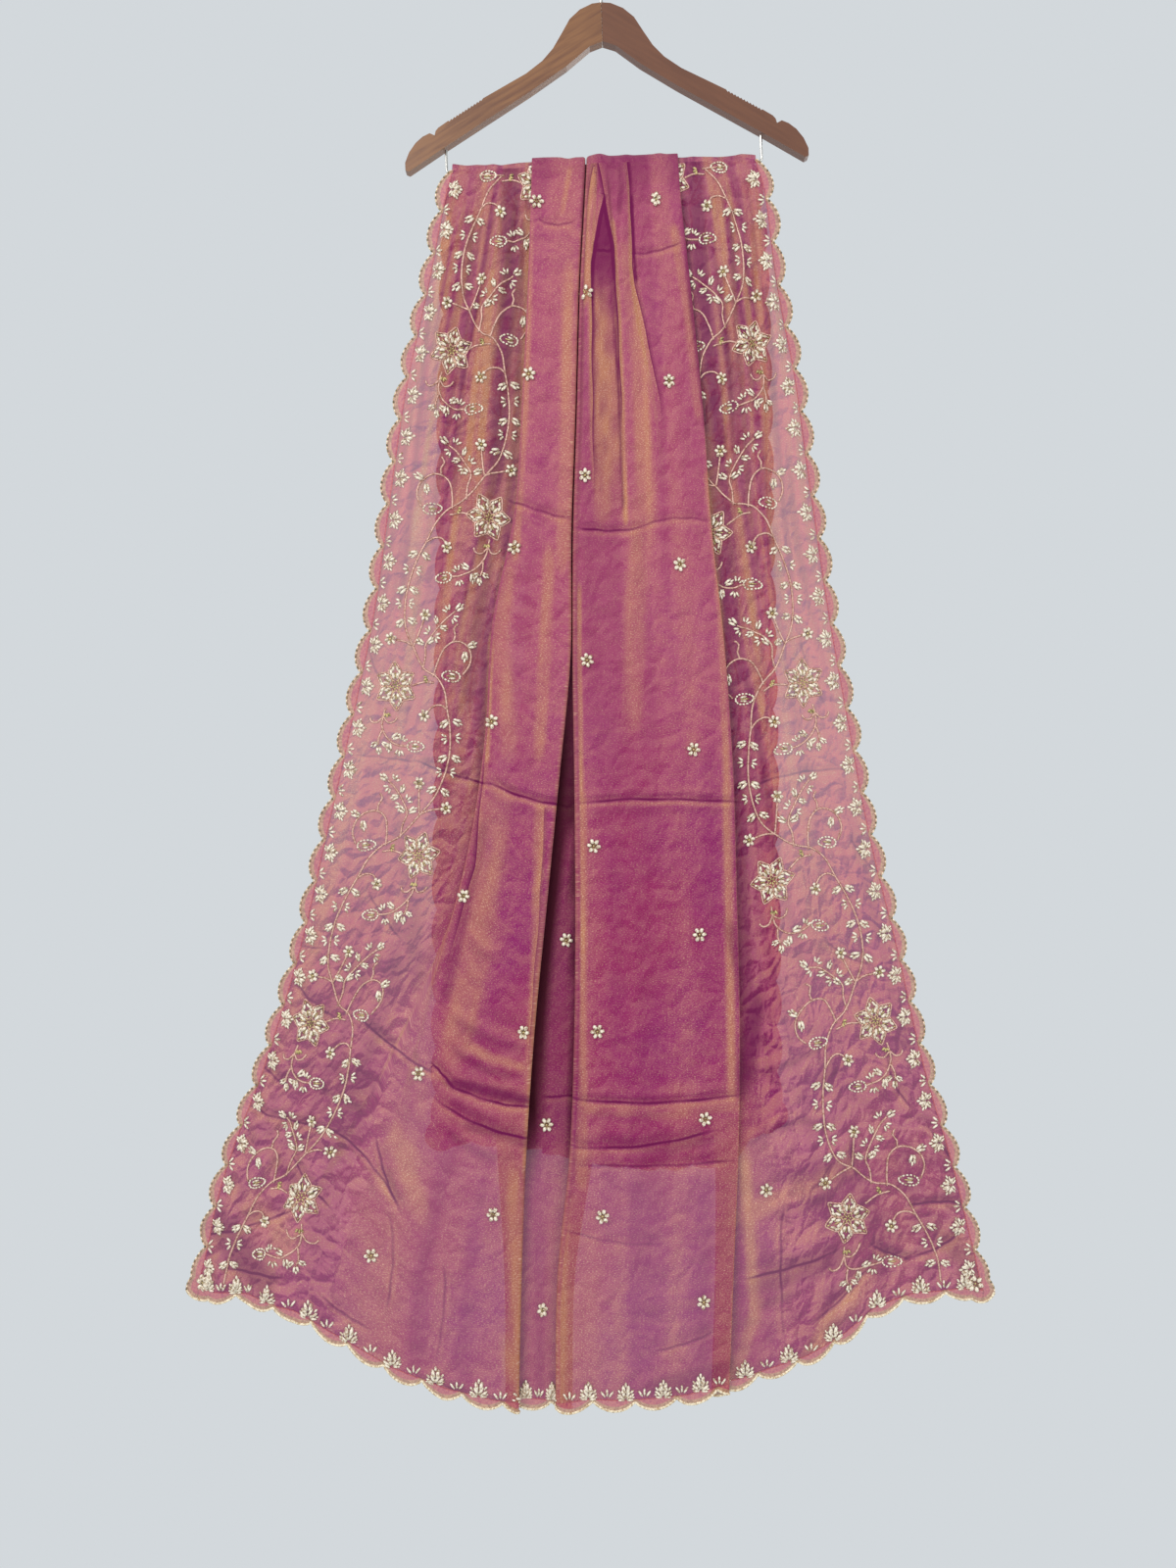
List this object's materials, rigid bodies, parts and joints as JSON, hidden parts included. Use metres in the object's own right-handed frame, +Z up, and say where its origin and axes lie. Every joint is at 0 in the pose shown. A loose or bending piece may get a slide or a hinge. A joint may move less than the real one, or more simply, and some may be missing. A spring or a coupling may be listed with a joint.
{
  "type": "dupatta stole on a wooden trouser-bar hanger",
  "caption": "Scallop-edged embroidered organza dupatta folded over the wire bar of a flat wooden hanger, long pleated front fall and shorter back fall.",
  "frame": {"origin": "inner top of the hanger's hook, where a rail bears on it", "axes": "+Z up, X across the cloth with the hanger's lower end at -X, the long front fall on the -Y side"},
  "size_m": [0.8609, 0.048, 1.579],
  "materials": {
    "organza": "sheer magenta organza shot with gold, silver-white bead embroidery",
    "zari_edging": "scalloped edge of the same organza bound with a metallic cord",
    "hanger_wood": "satin stained wood",
    "steel_wire": "plain steel wire"
  },
  "bodies": {
    "root": {"cloth_front_fall": "organza", "cloth_bar_turn": "organza", "cloth_back_fall": "organza", "edging_front_left": "zari_edging", "edging_front_right": "zari_edging", "edging_front_hem": "zari_edging", "edging_back_left": "zari_edging", "edging_back_right": "zari_edging", "edging_back_hem": "zari_edging", "hanger_wood_left": "hanger_wood", "hanger_wood_right": "hanger_wood", "hanger_hook": "steel_wire", "hanger_wire_bar": "steel_wire"}
  },
  "joints": []
}
